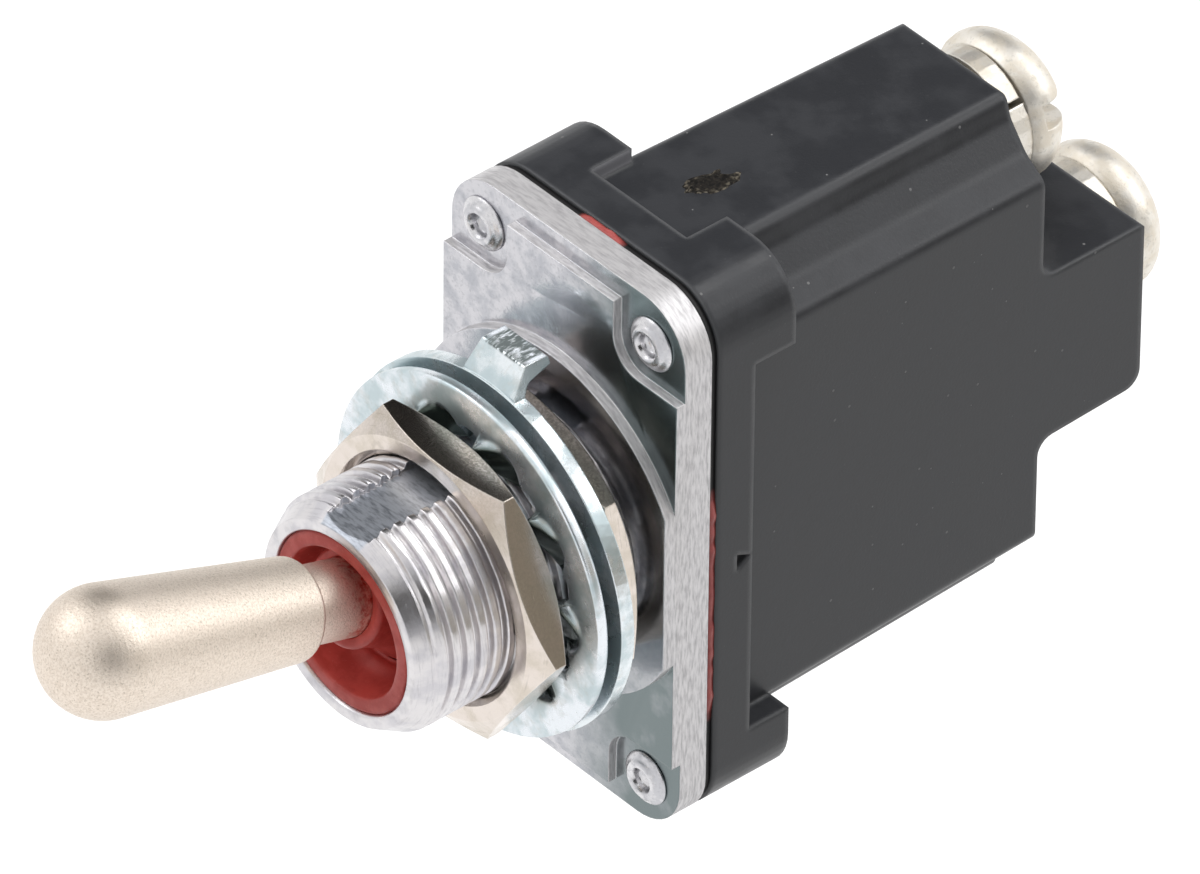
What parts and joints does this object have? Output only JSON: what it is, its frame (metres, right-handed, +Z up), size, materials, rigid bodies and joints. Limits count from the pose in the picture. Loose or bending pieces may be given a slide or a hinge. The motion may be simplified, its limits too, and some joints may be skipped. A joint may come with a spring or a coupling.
{
  "type": "toggle switch",
  "caption": "Sealed panel toggle switch: a tapered ball-ended lever in a threaded bushing, hex nuts and washers, a stepped black housing and screw terminals.",
  "frame": {"origin": "bushing axis, at the front face of the front nut", "axes": "+Y back along the bushing axis into the panel, +Z up towards the keyway, +X across the switch"},
  "size_m": [0.0186, 0.0649, 0.03],
  "materials": {
    "cover": "cast, dull silver",
    "nut_plate": "satin nickel plate",
    "washer_plate": "bright zinc plate",
    "lever_plate": "satin nickel plate",
    "screw_plate": "satin nickel plate",
    "rivet_metal": "plain plate",
    "seal_rubber": "dull brick red silicone",
    "gasket_rubber": "dull red silicone",
    "housing_resin": "moulded, fine matt",
    "inner_steel": "plain",
    "plunger_resin": "plain ivory",
    "saddle_resin": "plain brown",
    "contact_copper": "plain",
    "contact_silver": "plain silver"
  },
  "bodies": {
    "body": {"cover": "cover", "gasket": "gasket_rubber", "housing": "housing_resin", "rivet_1": "rivet_metal", "rivet_2": "rivet_metal", "rivet_3": "rivet_metal", "rivet_4": "rivet_metal", "nut_front": "nut_plate", "nut_back": "nut_plate", "lock_washer": "washer_plate", "keying_washer": "washer_plate", "seal": "seal_rubber", "pivot_pin": "inner_steel", "pin_retainer": "inner_steel", "fixed_contact": "contact_silver", "common_terminal": "contact_copper", "end_terminal": "contact_copper", "screw_upper": "screw_plate", "screw_middle": "screw_plate", "split_washer_upper": "screw_plate", "split_washer_middle": "screw_plate"},
    "lever": {"lever": "lever_plate", "seal_collar": "seal_rubber", "plunger_spring": "inner_steel"},
    "plunger": {"plunger": "plunger_resin"},
    "rocker": {"saddle": "saddle_resin", "contact_blade": "contact_copper", "moving_contact": "contact_silver"}
  },
  "joints": [
    {"name": "lever_toggle", "type": "hinge", "parent": "body", "child": "lever", "pos_m": [0, -0.0002, 0], "axis": [1, 0, 0], "range_deg": [0, 34.5]},
    {"name": "rocker_tilt", "type": "hinge", "parent": "body", "child": "rocker", "pos_m": [0, 0.0171, 0], "axis": [1, 0, 0], "range_deg": [-16, 0]},
    {"name": "plunger_slide", "type": "slide", "parent": "lever", "child": "plunger", "axis": [0, -0.955, 0.2965], "range_m": [0, 0.0005], "stiffness_N_per_m": 400, "springref_m": -0.006}
  ],
  "couplings": [
    {"joint": "rocker_tilt", "follows": "lever_toggle", "ratio": -0.46376}
  ]
}
